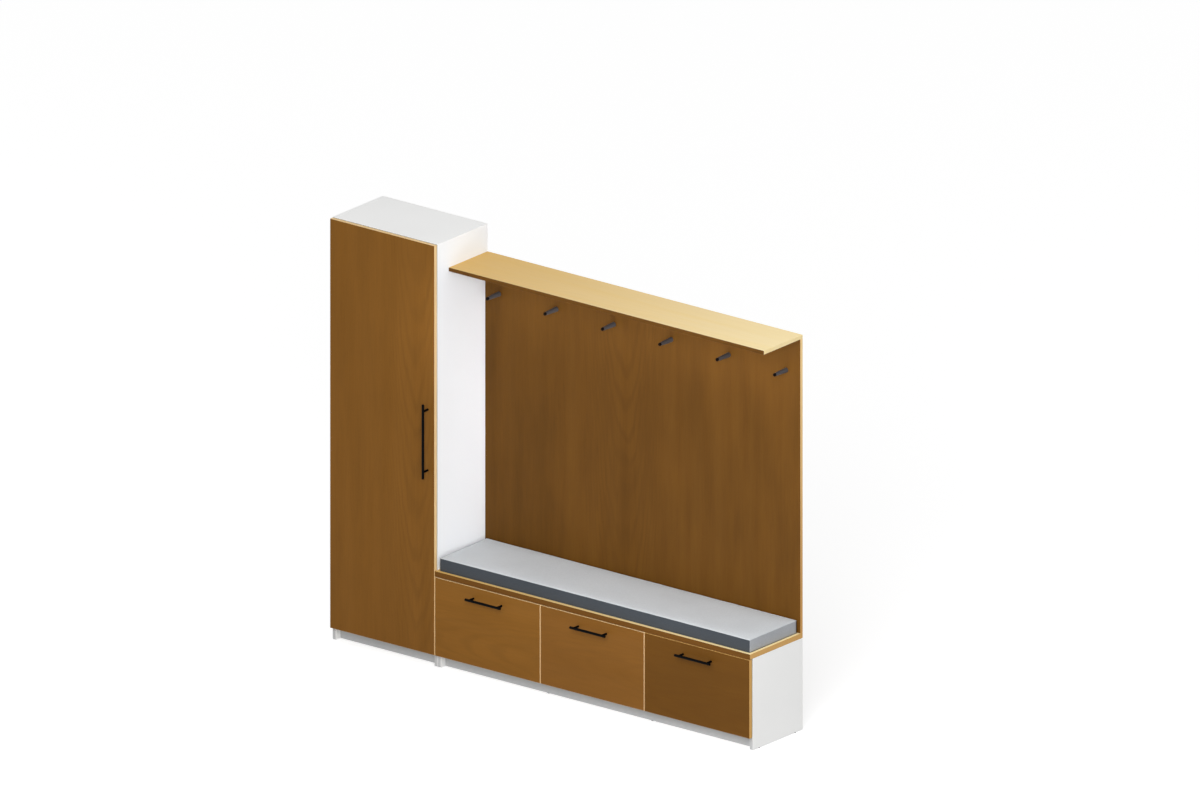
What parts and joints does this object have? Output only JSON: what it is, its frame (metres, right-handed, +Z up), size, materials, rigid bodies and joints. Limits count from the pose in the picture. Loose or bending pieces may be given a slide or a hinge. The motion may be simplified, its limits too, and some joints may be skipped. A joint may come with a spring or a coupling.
{
  "type": "hallway wardrobe",
  "caption": "Wall-standing hallway row: tall cabinet with a hinged door, drawer bench with a seat cushion, and a wall panel with coat pegs under a shelf.",
  "frame": {"origin": "on the floor, in the middle of the row's width and of its depth with the handles", "axes": "+X from the tall cabinet to the end of the bench, +Y towards the wall, +Z up"},
  "size_m": [2.4, 0.421, 2.006],
  "materials": {
    "brown_oak_laminate": "matte wood-grain laminate with pale edge bands",
    "white_laminate": "matte white laminate",
    "white_hardboard": "matte white hardboard",
    "grey_laminate": "matte light grey laminate",
    "drawer_board": "matte white drawer board",
    "seat_fabric": "woven grey upholstery fabric",
    "black_metal": "satin black powder coat",
    "dark_metal": "satin graphite",
    "chrome_tube": "polished",
    "bright_steel": "zinc plated",
    "zinc_alloy": "cast, dull",
    "beech": "plain turned beech",
    "black_plastic": "matte"
  },
  "bodies": {
    "cabinet": {"wall_panel": "brown_oak_laminate", "top_shelf": "brown_oak_laminate", "seat_board": "brown_oak_laminate", "wardrobe_left_side": "white_laminate", "wardrobe_right_side": "white_laminate", "wardrobe_top": "white_laminate", "wardrobe_bottom": "white_laminate", "hat_shelf": "white_laminate", "shoe_shelf": "white_laminate", "wall_rail": "white_laminate", "bench_left_side": "white_laminate", "bench_right_side": "white_laminate", "bench_left_divider": "white_laminate", "bench_right_divider": "white_laminate", "bench_bottom": "white_laminate", "wardrobe_back": "white_hardboard", "bench_back": "white_hardboard", "wardrobe_plinth": "grey_laminate", "bench_plinths": "grey_laminate", "seat_cushion": "seat_fabric", "coat_pegs": "dark_metal", "coat_rail": "chrome_tube", "coat_rail_brackets": "bright_steel", "shelf_pins": "bright_steel", "hinge_arms": "bright_steel", "peg_screws": "bright_steel", "cabinet_rails": "bright_steel", "cam_bolts": "bright_steel", "cam_locks": "zinc_alloy", "wood_dowels": "beech", "floor_glides": "black_plastic"},
    "door": {"door_panel": "brown_oak_laminate", "door_handle": "black_metal", "door_handle_screws": "bright_steel", "hinge_cups": "bright_steel", "hinge_pins": "bright_steel"},
    "left_drawer": {"left_drawer_front": "brown_oak_laminate", "left_drawer_sides": "drawer_board", "left_drawer_back": "drawer_board", "left_drawer_floor": "white_hardboard", "left_drawer_handle": "black_metal", "left_drawer_screws": "bright_steel", "left_drawer_rails": "bright_steel"},
    "left_middle_rails": {"left_middle_rails": "bright_steel"},
    "centre_drawer": {"centre_drawer_front": "brown_oak_laminate", "centre_drawer_sides": "drawer_board", "centre_drawer_back": "drawer_board", "centre_drawer_floor": "white_hardboard", "centre_drawer_handle": "black_metal", "centre_drawer_screws": "bright_steel", "centre_drawer_rails": "bright_steel"},
    "centre_middle_rails": {"centre_middle_rails": "bright_steel"},
    "right_drawer": {"right_drawer_front": "brown_oak_laminate", "right_drawer_sides": "drawer_board", "right_drawer_back": "drawer_board", "right_drawer_floor": "white_hardboard", "right_drawer_handle": "black_metal", "right_drawer_screws": "bright_steel", "right_drawer_rails": "bright_steel"},
    "right_middle_rails": {"right_middle_rails": "bright_steel"}
  },
  "joints": [
    {"name": "door_hinge", "type": "hinge", "parent": "cabinet", "child": "door", "pos_m": [-1.1904, -0.1613, 1.033], "axis": [0, 0, -1], "range_deg": [0, 95]},
    {"name": "left_drawer_slide", "type": "slide", "parent": "cabinet", "child": "left_drawer", "axis": [0, -1, 0], "range_m": [0, 0.3]},
    {"name": "left_middle_rails_slide", "type": "slide", "parent": "cabinet", "child": "left_middle_rails", "axis": [0, -1, 0], "range_m": [0, 0.15]},
    {"name": "centre_drawer_slide", "type": "slide", "parent": "cabinet", "child": "centre_drawer", "axis": [0, -1, 0], "range_m": [0, 0.3]},
    {"name": "centre_middle_rails_slide", "type": "slide", "parent": "cabinet", "child": "centre_middle_rails", "axis": [0, -1, 0], "range_m": [0, 0.15]},
    {"name": "right_drawer_slide", "type": "slide", "parent": "cabinet", "child": "right_drawer", "axis": [0, -1, 0], "range_m": [0, 0.3]},
    {"name": "right_middle_rails_slide", "type": "slide", "parent": "cabinet", "child": "right_middle_rails", "axis": [0, -1, 0], "range_m": [0, 0.15]}
  ],
  "couplings": [
    {"joint": "left_middle_rails_slide", "follows": "left_drawer_slide", "ratio": 0.5},
    {"joint": "centre_middle_rails_slide", "follows": "centre_drawer_slide", "ratio": 0.5},
    {"joint": "right_middle_rails_slide", "follows": "right_drawer_slide", "ratio": 0.5}
  ]
}
